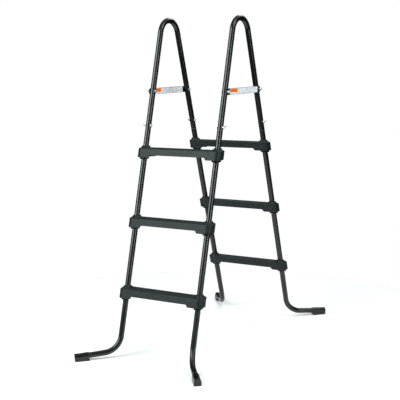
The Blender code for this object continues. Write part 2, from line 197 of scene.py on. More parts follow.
# Satin black powder coat, sprayed electrostatically and baked: a faint orange peel breaks up the
# highlights, and the film is a little glossier where it is thick
powderCoat = {"dark": "#080a0a", "light": "#0e1111", "roughness": (0.24, 0.29), "ior": 1.5,
              "orangePeel": 0.0024, "filmPatch": 0.11, "relief": 0.07}


def makePowderCoat():
    look = powderCoat
    material, tree, shader, place = newMaterial("satin black powder coat", IOR=look["ior"])
    film = addNode(tree, "ShaderNodeTexNoise", {"Vector": place, "Scale": 1 / look["filmPatch"],
                                                "Detail": 4.0, "Roughness": 0.6})
    thick = addNode(tree, "ShaderNodeMapRange", {"Value": film.outputs["Fac"],
                                                 "From Min": 0.35, "From Max": 0.65})
    colour = addNode(tree, "ShaderNodeMix", {0: thick.outputs["Result"], 6: hexColour(look["dark"]),
                                             7: hexColour(look["light"])}, data_type="RGBA")
    glossLow, glossHigh = look["roughness"]
    gloss = addNode(tree, "ShaderNodeMapRange", {"Value": film.outputs["Fac"],
                                                 "From Min": 0.35, "From Max": 0.65,
                                                 "To Min": glossLow, "To Max": glossHigh})
    peel = addNode(tree, "ShaderNodeTexNoise", {"Vector": place, "Scale": 1 / look["orangePeel"],
                                                "Detail": 2.0, "Roughness": 0.5})
    bump = addNode(tree, "ShaderNodeBump", {"Height": peel.outputs["Fac"], "Strength": look["relief"],
                                            "Distance": 0.0002})
    feedShader(tree, shader, Base_Color=colour.outputs[2], Roughness=gloss.outputs["Result"],
               Normal=bump.outputs["Normal"])
    return material


# Charcoal polypropylene, injection moulded in a spark-eroded tool: an even fine grain with a low
# sheen, cloudy flow marks, and paler specks where feet have rubbed the grain
treadPlastic = {"dark": "#0a0f0f", "light": "#131919", "rubbed": "#272f2f", "roughness": (0.42, 0.54),
                "ior": 1.49, "specular": 0.2, "grain": 0.0013, "relief": 0.35, "flow": (0.09, 0.012),
                "mottle": 0.0042}   # rubbed specks, drawn coarser than they are so that they show


def makeTreadPlastic():
    look = treadPlastic
    material, tree, shader, place = newMaterial("charcoal moulded polypropylene", IOR=look["ior"],
                                                Specular_IOR_Level=look["specular"])
    long, short = look["flow"]   # flow marks run along the tread
    stretched = addNode(tree, "ShaderNodeMapping", {"Vector": place,
                                                    "Scale": (1 / long, 1 / short, 1 / short)})
    flow = addNode(tree, "ShaderNodeTexNoise", {"Vector": stretched.outputs["Vector"], "Scale": 1.0,
                                                "Detail": 6.0, "Roughness": 0.7})
    cloudy = addNode(tree, "ShaderNodeMapRange", {"Value": flow.outputs["Fac"],
                                                  "From Min": 0.3, "From Max": 0.7})
    colour = addNode(tree, "ShaderNodeMix", {0: cloudy.outputs["Result"], 6: hexColour(look["dark"]),
                                             7: hexColour(look["light"])}, data_type="RGBA")
    grain = addNode(tree, "ShaderNodeTexNoise", {"Vector": place, "Scale": 1 / look["grain"],
                                                 "Detail": 3.0, "Roughness": 0.65})
    mottle = addNode(tree, "ShaderNodeTexNoise", {"Vector": place, "Scale": 1 / look["mottle"],
                                                  "Detail": 2.0, "Roughness": 0.6})
    rubbed = addNode(tree, "ShaderNodeMapRange", {"Value": mottle.outputs["Fac"],
                                                  "From Min": 0.44, "From Max": 0.64})
    speckled = addNode(tree, "ShaderNodeMix", {0: rubbed.outputs["Result"], 6: colour.outputs[2],
                                               7: hexColour(look["rubbed"])}, data_type="RGBA")
    glossLow, glossHigh = look["roughness"]
    gloss = addNode(tree, "ShaderNodeMapRange", {"Value": flow.outputs["Fac"],
                                                 "From Min": 0.3, "From Max": 0.7,
                                                 "To Min": glossLow, "To Max": glossHigh})
    bump = addNode(tree, "ShaderNodeBump", {"Height": grain.outputs["Fac"], "Strength": look["relief"],
                                            "Distance": 0.0003})
    feedShader(tree, shader, Base_Color=speckled.outputs[2], Roughness=gloss.outputs["Result"],
               Normal=bump.outputs["Normal"])
    return material


# Four more moulded or blackened finishes that differ in gloss and grain: nylon collars with a tight
# sheen, soft vinyl caps that hold dust near the floor, waxy polyethylene plates, and screws with a
# thin black oxide
darkFinishes = {
    "collar": {"name": "black moulded nylon", "dark": "#050606", "light": "#0a0c0c",
               "roughness": (0.3, 0.38), "ior": 1.53, "specular": 0.16, "grain": 0.0018,
               "relief": 0.2, "dust": 0.0},
    "cap": {"name": "soft black vinyl", "dark": "#040505", "light": "#0b0d0d",
            "roughness": (0.2, 0.3), "ior": 1.53, "specular": 0.42, "grain": 0.0016,
            "relief": 0.3, "dust": 0.18},
    "plate": {"name": "black moulded polyethylene", "dark": "#090a0a", "light": "#101212",
              "roughness": (0.4, 0.5), "ior": 1.51, "specular": 0.3, "grain": 0.0014,
              "relief": 0.25, "dust": 0.0},
    "screw": {"name": "black oxide steel", "dark": "#0c0d0d", "light": "#191b1b",
              "roughness": (0.34, 0.46), "ior": 1.45, "specular": 0.5, "grain": 0.0015,
              "relief": 0.15, "dust": 0.0}}
dust = {"colour": "#6b6a63", "height": 0.008}   # gathers on the soles and fades out this far up


def makeDark(look):
    material, tree, shader, place = newMaterial(look["name"], IOR=look["ior"],
                                                Specular_IOR_Level=look["specular"])
    grain = addNode(tree, "ShaderNodeTexNoise", {"Vector": place, "Scale": 1 / look["grain"],
                                                 "Detail": 4.0, "Roughness": 0.65})
    worn = addNode(tree, "ShaderNodeMapRange", {"Value": grain.outputs["Fac"],
                                                "From Min": 0.35, "From Max": 0.68})
    colour = addNode(tree, "ShaderNodeMix", {0: worn.outputs["Result"], 6: hexColour(look["dark"]),
                                             7: hexColour(look["light"])}, data_type="RGBA")
    shade = colour.outputs[2]
    if look["dust"]:
        axes = addNode(tree, "ShaderNodeSeparateXYZ", {"Vector": place})
        low = addNode(tree, "ShaderNodeMapRange", {"Value": axes.outputs["Z"],
                                                   "From Min": 0.0, "From Max": dust["height"],
                                                   "To Min": look["dust"], "To Max": 0.0})
        settled = addNode(tree, "ShaderNodeMath", {0: low.outputs["Result"], 1: grain.outputs["Fac"]},
                          operation="MULTIPLY")
        shade = addNode(tree, "ShaderNodeMix", {0: settled.outputs["Value"], 6: shade,
                                                7: hexColour(dust["colour"])}, data_type="RGBA").outputs[2]
    glossLow, glossHigh = look["roughness"]
    gloss = addNode(tree, "ShaderNodeMapRange", {"Value": grain.outputs["Fac"],
                                                 "From Min": 0.3, "From Max": 0.7,
                                                 "To Min": glossLow, "To Max": glossHigh})
    bump = addNode(tree, "ShaderNodeBump", {"Height": grain.outputs["Fac"], "Strength": look["relief"],
                                            "Distance": 0.0003})
    feedShader(tree, shader, Base_Color=shade, Roughness=gloss.outputs["Result"],
               Normal=bump.outputs["Normal"])
    return material


# Bright zinc plate, electrolytic with a clear passivate: a pale cool metal with a cloudy gloss
zincPlate = {"cool": "#e4e8ec", "warm": "#d0cfc8", "roughness": (0.3, 0.5), "cloud": 0.004, "relief": 0.1}


def makeZincPlate():
    look = zincPlate
    material, tree, shader, place = newMaterial("bright zinc plate", Metallic=1.0)
    clouds = addNode(tree, "ShaderNodeTexNoise", {"Vector": place, "Scale": 1 / look["cloud"],
                                                  "Detail": 5.0, "Roughness": 0.6})
    spread = addNode(tree, "ShaderNodeMapRange", {"Value": clouds.outputs["Fac"],
                                                  "From Min": 0.35, "From Max": 0.65})
    colour = addNode(tree, "ShaderNodeMix", {0: spread.outputs["Result"], 6: hexColour(look["warm"]),
                                             7: hexColour(look["cool"])}, data_type="RGBA")
    glossLow, glossHigh = look["roughness"]
    gloss = addNode(tree, "ShaderNodeMapRange", {"Value": clouds.outputs["Fac"],
                                                 "From Min": 0.3, "From Max": 0.7,
                                                 "To Min": glossLow, "To Max": glossHigh})
    bump = addNode(tree, "ShaderNodeBump", {"Height": clouds.outputs["Fac"], "Strength": look["relief"],
                                            "Distance": 0.0002})
    feedShader(tree, shader, Base_Color=colour.outputs[2], Roughness=gloss.outputs["Result"],
               Normal=bump.outputs["Normal"])
    return material


# Printed vinyl film under a gloss overlaminate: cool white, mottled by the plate behind it, with a
# plain orange block at one end
labelFilm = {"white": "#f4f7fa", "shade": "#e0e6ec", "orange": "#ff8420", "orangeDark": "#f06a10",
             "blockLength": 0.066, "blockShare": 0.66, "margin": 0.0015, "mottle": 0.008,
             "roughness": 0.3, "relief": 0.05}


def makeLabelFilm(low, high):
    look = labelFilm
    material, tree, shader, place = newMaterial("printed vinyl film", Roughness=look["roughness"],
                                                IOR=1.5, Coat_Weight=0.3, Coat_Roughness=0.12)
    axes = addNode(tree, "ShaderNodeSeparateXYZ", {"Vector": place})
    mottle = addNode(tree, "ShaderNodeTexNoise", {"Vector": place, "Scale": 1 / look["mottle"],
                                                  "Detail": 3.0})
    spread = addNode(tree, "ShaderNodeMapRange", {"Value": mottle.outputs["Fac"],
                                                  "From Min": 0.35, "From Max": 0.65})
    ground = addNode(tree, "ShaderNodeMix", {0: spread.outputs["Result"], 6: hexColour(look["shade"]),
                                             7: hexColour(look["white"])}, data_type="RGBA")
    ink = addNode(tree, "ShaderNodeMix", {0: spread.outputs["Result"], 6: hexColour(look["orangeDark"]),
                                          7: hexColour(look["orange"])}, data_type="RGBA")
    blockLow = high.z - (high.z - low.z) * look["blockShare"]
    inside = 1.0   # the orange block, between two limits across and two up
    for axis, limit, test in (("Y", low.y + look["margin"], "GREATER_THAN"),
                              ("Y", low.y + look["blockLength"], "LESS_THAN"),
                              ("Z", blockLow, "GREATER_THAN"), ("Z", high.z - look["margin"], "LESS_THAN")):
        passed = addNode(tree, "ShaderNodeMath", {0: axes.outputs[axis], 1: limit}, operation=test)
        inside = addNode(tree, "ShaderNodeMath", {0: inside, 1: passed.outputs["Value"]},
                         operation="MULTIPLY").outputs["Value"]
    printed = addNode(tree, "ShaderNodeMix", {0: inside, 6: ground.outputs[2], 7: ink.outputs[2]},
                      data_type="RGBA")
    bump = addNode(tree, "ShaderNodeBump", {"Height": mottle.outputs["Fac"], "Strength": look["relief"],
                                            "Distance": 0.0002})
    feedShader(tree, shader, Base_Color=printed.outputs[2], Normal=bump.outputs["Normal"])
    return material


paint = makePowderCoat()
charcoal = makeTreadPlastic()
collarNylon, capVinyl, platePlastic, blackSteel = [makeDark(look) for look in darkFinishes.values()]
zinc = makeZincPlate()
print("stage: materials made")


# Tubes: two bent handrails and four legs

tube = {"wall": 0.0012, "bendRadius": 0.074, "swageLength": 0.075, "shoulder": 0.0025,
        "shoulderSteps": ((0.2, 0.35), (0.3, 0.4), (0.5, 0.25)),   # shares of its length and of its growth
        "gap": 0.0003, "mouthEdge": 0.00035, "sides": 48, "bendSteps": 60,
        "clearTop": 2e-6}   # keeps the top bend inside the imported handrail
foot = {"length": 0.2002, "splay": math.radians(48), "twist": math.radians(3), "dip": math.radians(4),
        "bendRadius": 0.086, "tipHeight": 0.0172, "bendSteps": 28}
boreRadius = tubeRadius + tube["gap"]   # of what slips over a tube
facetReach = math.cos(math.pi / 16)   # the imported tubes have 16 sides, so their seats are wider by this


def tubeStart(bm, centre, along, radii):   # the first end: a flat ring of faces
    facing = turnTo(along, origin=centre)
    rims = []
    for radius in radii:
        made = bmesh.ops.create_circle(bm, segments=tube["sides"], radius=radius, matrix=facing)
        rims += list({edge for vert in made["verts"] for edge in vert.link_edges})
    return bmesh.ops.bridge_loops(bm, edges=rims)["faces"]


def withRims(faces):   # faces with their edges and corners, so that no face is left inside
    return (list(faces) + list({edge for face in faces for edge in face.edges})
            + list({vert for face in faces for vert in face.verts}))


def lastFaces(made):   # the faces among what an operator made
    return [item for item in made if isinstance(item, bmesh.types.BMFace)]


def runTube(bm, faces, along, length):
    made = bmesh.ops.extrude_face_region(bm, geom=withRims(faces))["geom"]
    verts = [item for item in made if isinstance(item, bmesh.types.BMVert)]
    bmesh.ops.translate(bm, verts=verts, vec=Vector(along).normalized() * length)
    return lastFaces(made)


def bendTube(bm, faces, centre, axis, angle, steps):
    return lastFaces(bmesh.ops.spin(bm, geom=withRims(faces), cent=centre, axis=axis, dvec=(0, 0, 0),
                                    angle=angle, steps=steps, use_merge=False)["geom_last"])


def swellTube(faces, centre, along, growth):   # widens the last ring
    for vert in {vert for face in faces for vert in face.verts}:
        out = vert.co - centre
        vert.co += (out - along * out.dot(along)).normalized() * growth


def makeHandrail(side):   # up one side, over the bend and down the other
    rise = Vector((0, math.sin(lean), math.cos(lean)))
    bendHeight = railHigh.z - tubeRadius - tube["bendRadius"] - tube["clearTop"]
    tangentHeight = bendHeight + tube["bendRadius"] * math.sin(lean)
    length = (tangentHeight - jointHeight) / math.cos(lean)
    bm = bmesh.new()
    faces = tubeStart(bm, tubePoint(side, -1, jointHeight), rise, (tubeRadius, tubeRadius - tube["wall"]))
    faces = runTube(bm, faces, rise, length)
    faces = bendTube(bm, faces, (side * halfWidth, 0, bendHeight), (-1, 0, 0), math.pi - 2 * lean,
                     tube["bendSteps"])
    runTube(bm, faces, Vector((0, math.sin(lean), -math.cos(lean))), length)
    return meshFrom(bm, "handrail")


def footDirection(side, end):   # outwards along the foot, dipping to its tip
    splay = foot["splay"] - side * end * foot["twist"]
    level = math.cos(foot["dip"])
    return Vector((side * math.cos(splay) * level, end * math.sin(splay) * level, -math.sin(foot["dip"])))


def footCorner(side, end):   # where the leg's line and the foot's would meet without the bend
    return tubePoint(side, end, foot["tipHeight"] + foot["length"] * math.sin(foot["dip"]))


def makeLeg(side, end):   # the slim end that goes up the handrail, a shoulder, the leg and its foot
    down = Vector((0, end * math.sin(lean), -math.cos(lean)))
    along = footDirection(side, end)
    corner = footCorner(side, end)
    turn = down.angle(along)
    tangent = foot["bendRadius"] * math.tan(turn / 2)
    joint = tubePoint(side, end, jointHeight)
    slim = tubeRadius - tube["wall"] - tube["gap"]
    bm = bmesh.new()
    faces = tubeStart(bm, joint - down * tube["swageLength"], down, (slim, slim - tube["wall"]))
    faces = runTube(bm, faces, down, tube["swageLength"] + tube["gap"])
    shoulder = joint + down * tube["gap"]
    for share, growth in tube["shoulderSteps"]:   # a rounded step out to full size
        faces = runTube(bm, faces, down, share * tube["shoulder"])
        shoulder = shoulder + down * share * tube["shoulder"]
        swellTube(faces, shoulder, down, growth * (tubeRadius - slim))
    bendStart = corner - down * tangent
    faces = runTube(bm, faces, down, (bendStart - shoulder).length)
    inward = (along - down * along.dot(down)).normalized()
    faces = bendTube(bm, faces, bendStart + inward * foot["bendRadius"], down.cross(along).normalized(),
                     turn, foot["bendSteps"])
    runTube(bm, faces, along, foot["length"] - tangent - cap["endWall"] - tube["gap"])
    return meshFrom(bm, "leg")


# Foot caps: a D-shaped sleeve that is flat underneath, closed at the tip

cap = {"length": 0.064, "wall": 0.0026, "endWall": 0.004, "tipEdge": 0.0024, "mouthEdge": 0.001,
       "heel": 0.018, "grooveWidth": 0.0022, "grooveDepth": 0.0011, "grooveSlope": 0.0005,
       "sleeveStep": 0.0005, "mouthRim": 0.0045, "rimSlope": 0.0006, "arcSteps": 26, "boreSteps": 48}


def capRing(bm, back, shrink):   # one section of the sleeve, this far in from the tip
    height = foot["tipHeight"] + back * math.tan(foot["dip"])
    radius = boreRadius / facetReach + cap["wall"] - shrink
    outline = [(-radius, near), (radius, near)]   # the sole, just clear of the ground
    outline += [(radius * math.cos(math.pi * i / cap["arcSteps"]),
                 height + radius * math.sin(math.pi * i / cap["arcSteps"]))
                for i in range(cap["arcSteps"] + 1)]
    verts = [bm.verts.new(((z - height) * math.tan(foot["dip"]) - back, y, z)) for y, z in outline]
    return [bm.edges.new(pair) for pair in zip(verts, verts[1:] + verts[:1])]


def makeCap():
    bm = bmesh.new()
    heel, deep, step, slope = cap["heel"], cap["grooveDepth"], cap["sleeveStep"], cap["grooveSlope"]
    groove, rim = heel + cap["grooveWidth"], cap["length"] - cap["mouthRim"]
    stations = [(0, 0), (heel, 0), (heel + slope, deep), (groove - slope, deep), (groove, step),
                (rim - cap["rimSlope"], step), (rim, 0), (cap["length"], 0)]   # how far back, how deep
    rings = [capRing(bm, back, shrink) for back, shrink in stations]
    for first, second in zip(rings, rings[1:]):
        bmesh.ops.bridge_loops(bm, edges=first + second)
    bmesh.ops.holes_fill(bm, edges=bm.edges, sides=0)
    roundEdges(bm, rings[0], cap["tipEdge"])
    roundEdges(bm, [edge for edge in rings[-1] if edge.is_valid], cap["mouthEdge"], segments=3)
    along = Vector((-math.cos(foot["dip"]), 0, math.sin(foot["dip"])))
    start = Vector((0, 0, foot["tipHeight"])) + along * cap["endWall"]
    bore = bmesh.new()
    bmesh.ops.create_cone(bore, cap_ends=True, segments=cap["boreSteps"], radius1=boreRadius,
                          radius2=boreRadius, depth=2 * cap["length"],
                          matrix=turnTo(along, (0, 1, 0), start + along * cap["length"]))
    return combine(meshFrom(bm, "cap"), "DIFFERENCE", [meshFrom(bore, "bore")])


# Treads

tread = {"depth": 0.0637, "thickness": 0.029, "overhang": 0.0282, "endThickness": 0.0395,
         "haunchInset": 0.0376, "haunchRun": 0.0085, "cornerRadius": 0.026, "topEdge": 0.002,
         "lowEdge": 0.0008, "wall": 0.0016, "skin": 0.0032, "pockets": 4, "draft": 0.0007,
         "sideWall": 0.003, "socketWall": 0.0205, "hollowEnd": 0.002, "hollowDrop": 0.0002,
         "bossRise": 0.0105, "bossBase": 0.0262, "bossTop": 0.0165, "bossSkirt": 0.0032,
         "bossEdge": 0.001, "bossCore": 0.6,   # the core is this share of the bore, which is cut later
         "ridges": 7, "ridgePitch": 0.0072, "ridgeWidth": 0.0040, "ridgeHeight": 0.0009,
         "ridgeDraft": 0.0007, "gripEnd": 0.004, "turnSteps": 56}
collar = {"flangeRadius": 0.0205, "flangeThickness": 0.008, "sleeveWall": 0.0028, "depth": 0.034,
          "edge": 0.0009, "gap": 0.0003}
easing = 0.3   # a rounded corner's middle point, as a share of its radius
farAway = 0.1   # how far a cutter reaches beyond what it cuts


def roundTube(side=0):   # widens an upright turned shape so that it is round about the leaning tube
    return Matrix.Translation((side * halfWidth, 0, 0)) @ Matrix.Diagonal((1, 1 / math.cos(lean), 1, 1))


def leanOver():   # for the front half, whose tops lean towards the pool wall
    matrix = Matrix.Identity(4)
    matrix[1][2] = math.tan(lean)
    return matrix


def splitFace(bm, face, axis, places):   # cuts one flat face across, and gives the faces it became
    parts = [face]
    for place in places:
        point, normal = Vector((0, 0, 0)), Vector((0, 0, 0))
        point[axis], normal[axis] = place, 1
        made = bmesh.ops.bisect_plane(bm, geom=withRims(parts), dist=1e-7, plane_co=point, plane_no=normal)
        parts = lastFaces(made["geom"])
    return parts


def makeTreadBody():   # upright: its outline from the front, then ridges on top and pockets below
    t = tread
    endX, flatX = halfWidth + t["overhang"], halfWidth - t["haunchInset"]
    outline = [(-endX, 0), (endX, 0), (endX, -t["endThickness"]), (flatX, -t["endThickness"]),
               (flatX - t["haunchRun"], -t["thickness"]), (t["haunchRun"] - flatX, -t["thickness"]),
               (-flatX, -t["endThickness"]), (-endX, -t["endThickness"])]
    bm = bmesh.new()
    face = bm.faces.new([bm.verts.new((x, -t["depth"] / 2, z)) for x, z in outline])
    made = bmesh.ops.extrude_face_region(bm, geom=[face])["geom"]
    bmesh.ops.translate(bm, verts=[v for v in made if isinstance(v, bmesh.types.BMVert)],
                        vec=(0, t["depth"], 0))
    corners = [edge for edge in edgesAlong(bm, 2) if abs(abs(edge.verts[0].co.x) - endX) < near]
    roundEdges(bm, corners, t["cornerRadius"], segments=14)
    bmesh.ops.recalc_face_normals(bm, faces=bm.faces)
    rim = [edge for edge in bm.edges if all(abs(vert.co.z) < near for vert in edge.verts)]
    roundEdges(bm, rim, t["topEdge"])
    under = [edge for edge in bm.edges if len(edge.link_faces) == 2
             and sum(face.normal.z < -0.5 for face in edge.link_faces) == 1]
    roundEdges(bm, under, t["lowEdge"], segments=2)
    top = max((f for f in bm.faces if f.normal.z > 0.999), key=lambda f: f.calc_area())   # gets the ridges
    grip = halfWidth - t["bossBase"] - t["gripEnd"]
    lines = []
    for index in range(t["ridges"]):
        middle = (index - (t["ridges"] - 1) / 2) * t["ridgePitch"]
        lines += [middle - t["ridgeWidth"] / 2, middle + t["ridgeWidth"] / 2]
    strips = splitFace(bm, top, 0, (-grip, grip))
    inner = min(strips, key=lambda f: abs(f.calc_center_median().x))
    strips = sorted(splitFace(bm, inner, 1, lines), key=lambda f: f.calc_center_median().y)
    bmesh.ops.inset_individual(bm, faces=strips[1::2], thickness=t["ridgeDraft"], depth=t["ridgeHeight"],
                               use_even_offset=True)
    bottom = max((f for f in bm.faces if f.normal.z < -0.999   # gets the pockets
                  and abs(f.calc_center_median().x) < 0.01), key=lambda f: f.calc_area())
    span = 2 * (flatX - t["haunchRun"]) / t["pockets"]
    cells = splitFace(bm, bottom, 0, [span * (i + 1 - t["pockets"] / 2) for i in range(t["pockets"] - 1)])
    bmesh.ops.inset_individual(bm, faces=cells, thickness=t["wall"], depth=0.0, use_even_offset=True)
    bmesh.ops.inset_individual(bm, faces=cells, thickness=t["draft"], depth=t["skin"] - t["thickness"],
                               use_even_offset=True)
    return meshFrom(bm, "tread")


def makeTread():
    t, c = tread, collar
    bosses, cuts = [], []
    seat = boreRadius / facetReach + c["sleeveWall"] + c["gap"]
    core, top, edge = boreRadius * t["bossCore"], t["bossRise"], t["bossEdge"]
    slope = (t["bossBase"] - t["bossTop"]) / (t["bossRise"] + t["bossSkirt"])
    hollowTop, flank = -t["skin"] - t["hollowDrop"], t["depth"] / 2 - t["sideWall"]
    for side in (-1, 1):
        boss = turnedPart([(core, -t["bossSkirt"]), (t["bossBase"], -t["bossSkirt"]),
                           (t["bossTop"] + slope * edge, top - edge),
                           (t["bossTop"] - edge * 0.25, top - edge * easing),
                           (t["bossTop"] - edge, top), (core, top)], t["turnSteps"])
        bosses.append(meshFrom(boss, "boss"))
        bosses[-1].transform(roundTube(side))
        for radius, low, high in ((boreRadius, -farAway, farAway / 2),
                                  (seat, -farAway, c["gap"] + c["depth"] - t["endThickness"])):
            cut = bmesh.new()
            bmesh.ops.create_cone(cut, cap_ends=True, segments=t["turnSteps"], radius1=radius,
                                  radius2=radius, depth=high - low,
                                  matrix=Matrix.Translation((0, 0, (low + high) / 2)))
            cuts.append(meshFrom(cut, "cut"))
            cuts[-1].transform(roundTube(side))
        hollowEnds = sorted((side * (halfWidth - t["haunchInset"] - t["haunchRun"] - t["hollowEnd"]),
                             side * (halfWidth - t["socketWall"])))   # the thick ends are hollow too
        cuts.append(meshFrom(block((hollowEnds[0], -flank, -farAway), (hollowEnds[1], flank, hollowTop)),
                             "hollow"))
    mesh = combine(makeTreadBody(), "UNION", bosses)
    mesh = combine(mesh, "DIFFERENCE", cuts)
    mesh.transform(leanOver())
    return mesh


def makeCollar():   # a flange under the tread's end, with a sleeve up into it
    c, rim = collar, collar["flangeRadius"]
    sleeve = boreRadius / facetReach + c["sleeveWall"]
    base = -tread["endThickness"] - c["gap"]
    top, low, edge = base + c["depth"], base - c["flangeThickness"], c["edge"]
    bm = turnedPart([(boreRadius, top), (sleeve, top), (sleeve, base), (rim - edge, base),
                     (rim - edge * easing, base - edge * easing), (rim, base - edge),
                     (rim, low + edge), (rim - edge * easing, low + edge * easing), (rim - edge, low),
                     (boreRadius + edge / 2, low), (boreRadius, low + edge / 2)], tread["turnSteps"])
    mesh = meshFrom(bm, "collar")
    mesh.transform(leanOver() @ roundTube())
    return mesh


# Pan-head tread screws, one through each tread end from the wall side

treadScrew = {"radius": 0.0042, "height": 0.0021, "slot": 0.0011, "reach": 0.0052, "deep": 0.0014,
              "shank": 0.004, "shankShare": 0.45, "sideShare": 0.35, "domeSteps": 6, "turnSteps": 32,
              "below": 0.0205}   # how far under the tread's top it sits


def makeScrew():   # a domed head with a cross slot
    s = treadScrew
    radius, height, steps = s["radius"], s["height"], s["domeSteps"]
    shank, upright = radius * s["shankShare"], s["sideShare"]
    dome = [(radius * math.sin(a), height * (upright + (1 - upright) * math.cos(a)))
            for a in [math.pi / 2 * i / steps for i in range(steps, 0, -1)]]
    bm = turnedPart([(0, -s["shank"]), (shank, -s["shank"]), (shank, 0), (radius, 0)]
                    + dome + [(0, height)], s["turnSteps"])
    slots = [meshFrom(block((-x, -y, height - s["deep"]), (x, y, height * 2)), "slot")
             for x, y in ((s["slot"] / 2, s["reach"] / 2), (s["reach"] / 2, s["slot"] / 2))]
    return combine(meshFrom(bm, "screw"), "DIFFERENCE", slots)


# Bolts, washers and wing nuts

fastener = {"radius": 0.003, "root": 0.00246, "pitch": 0.001, "flats": 0.010, "head": 0.004,
            "headEdge": 0.0008, "tip": 0.0003, "plainEnd": 0.0006, "threadLead": 0.0008,
            "washerRadius": 0.006, "washerEdge": 0.00025, "boreGap": 0.0004,
            "shankSteps": 32, "turnSteps": 40}
wing = {"hubRadius": 0.0052, "topRadius": 0.0042, "hubHeight": 0.006, "hubEdge": 0.0004, "span": 0.022,
        "height": 0.0115, "thickness": 0.0021, "turn": math.radians(30)}


def makeBolt(length, threadFrom):   # head below zero, shank up +Z
    f = fastener
    head = bmesh.new()
    radius = f["flats"] / 2 / math.cos(math.pi / 6)
    bmesh.ops.create_cone(head, cap_ends=True, segments=6, radius1=radius, radius2=radius, depth=f["head"],
                          matrix=Matrix.Translation((0, 0, -f["head"] / 2)))
    outer = [edge for edge in head.edges if all(vert.co.z < -f["head"] * 0.9 for vert in edge.verts)]
    roundEdges(head, outer, f["headEdge"], segments=3)
    profile = [(0, -f["head"] / 2), (f["radius"], -f["head"] / 2), (f["radius"], threadFrom)]
    height = threadFrom
    while height + f["pitch"] < length - f["plainEnd"]:   # the thread, as rings a pitch apart
        profile += [(f["root"], height + f["pitch"] / 2), (f["radius"], height + f["pitch"])]
        height += f["pitch"]
    profile += [(f["root"], length - f["tip"]), (f["root"] - f["tip"], length), (0, length)]
    return combine(meshFrom(head, "head"), "UNION",
                   [meshFrom(turnedPart(profile, f["shankSteps"]), "shank")])


def makeWasher(inner, thickness):
    edge, radius = fastener["washerEdge"], fastener["washerRadius"]
    return meshFrom(turnedPart([(inner, 0), (radius - edge, 0), (radius, edge), (radius, thickness - edge),
                                (radius - edge, thickness), (inner, thickness)], fastener["turnSteps"]),
                    "washer")


def makeWingNut(bore):
    w = wing
    thin, hubEdge, hubTop = w["thickness"] / 2, w["hubEdge"], w["hubHeight"]
    hub = turnedPart([(bore, 0), (w["hubRadius"] - hubEdge, 0), (w["hubRadius"], hubEdge),
                      (w["topRadius"] + hubEdge / 2, hubTop - 2 * hubEdge),
                      (w["topRadius"] - hubEdge, hubTop), (bore, hubTop)], fastener["turnSteps"])
    wings = []
    for way in (-1, 1):
        root, tip = (2 * bore + w["topRadius"]) / 3, w["span"] / 2
        outline = [(root, hubTop * 0.22), (tip - 0.0042, hubTop * 0.42),   # out along the low edge
                   (tip - 0.0012, hubTop * 0.88), (tip, w["height"] - 0.0034),
                   (tip - 0.0003, w["height"] - 0.0010), (tip - 0.0016, w["height"]),   # round the tip
                   (tip - 0.0036, w["height"] - 0.0008),
                   (tip - 0.0048, hubTop * 1.12), (root, hubTop * 0.93)]   # and back to the hub
        bm = bmesh.new()
        face = bm.faces.new([bm.verts.new((way * x, -thin, z)) for x, z in outline])
        made = bmesh.ops.extrude_face_region(bm, geom=[face])["geom"]
        bmesh.ops.translate(bm, verts=[v for v in made if isinstance(v, bmesh.types.BMVert)],
                            vec=(0, 2 * thin, 0))
        bmesh.ops.recalc_face_normals(bm, faces=bm.faces)
        rims = [e for e in bm.edges if abs(e.calc_face_angle()) > math.radians(70)
                and min(abs(v.co.x) for v in e.verts) > root + hubEdge]
        roundEdges(bm, rims, thin * 0.55, segments=3)
        wings.append(meshFrom(bm, "wing"))
    return combine(meshFrom(hub, "hub"), "UNION", wings)


# Spreader plates and their labels

plate = {"corner": 0.0085, "edge": 0.0004, "labelCorner": 0.0015}


def makePlate(low, high):   # a flat bar between two corners, its ends rounded
    bm = block(low, high)
    roundEdges(bm, edgesAlong(bm, 0), plate["corner"], segments=10)
    return meshFrom(bm, "plate")


def makeLabel(low, high):
    bm = block(low, high)
    roundEdges(bm, edgesAlong(bm, 0), plate["labelCorner"], segments=5)
    return meshFrom(bm, "label")


# Putting the ladder together

for sideName, side in sides.items():
    addPiece(f"handrailTube_{sideName}", makeHandrail(side), paint,
             [f"handrail_{sideName}"], edge=tube["mouthEdge"])
    for endName, end in ends.items():
        addPiece(f"legTube_{endName}_{sideName}", makeLeg(side, end), paint,
                 [f"leg_{endName}_{sideName}"])
print("stage: handrails and legs made")

capMesh = makeCap()
for endName, end in ends.items():
    for sideName, side in sides.items():
        along = footDirection(side, end)
        tip = footCorner(side, end) + along * foot["length"]
        place = Matrix.Translation((tip.x, tip.y, 0)) @ Matrix.Rotation(math.atan2(along.y, along.x), 4, "Z")
        addPiece(f"footCap_{endName}_{sideName}", capMesh, capVinyl,
                 [f"foot_cap_{endName}_{sideName}"], place)
print("stage: foot caps made")

treadMesh, collarMesh, screwMesh = makeTread(), makeCollar(), makeScrew()
for endName, end in ends.items():
    turned = Matrix.Identity(4) if end < 0 else Matrix.Rotation(math.pi, 4, "Z")
    for level in levels:
        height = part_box(f"tread_{endName}_{level}")[1].z - tread["bossRise"]
        middle = Matrix.Translation((0, tubePoint(0, end, height).y, height))
        addPiece(f"step_{endName}_{level}", treadMesh, charcoal,
                 [f"tread_{endName}_{level}"], middle @ turned)
        for sideName, side in sides.items():
            at = Matrix.Translation((side * halfWidth, 0, 0)) @ middle @ turned
            addPiece(f"stepCollar_{endName}_{level}_{sideName}", collarMesh, collarNylon,
                     [f"collar_{endName}_{level}_{sideName}"], at)
            onFace = Vector((0, tread["depth"] / 2 - treadScrew["below"] * math.tan(lean),
                             -treadScrew["below"]))
            facing = turnTo((0, math.cos(lean), math.sin(lean)), origin=onFace)
            addPiece(f"stepScrew_{endName}_{level}_{sideName}", screwMesh, blackSteel, [],
                     at @ facing)
print("stage: treads, collars and screws made")

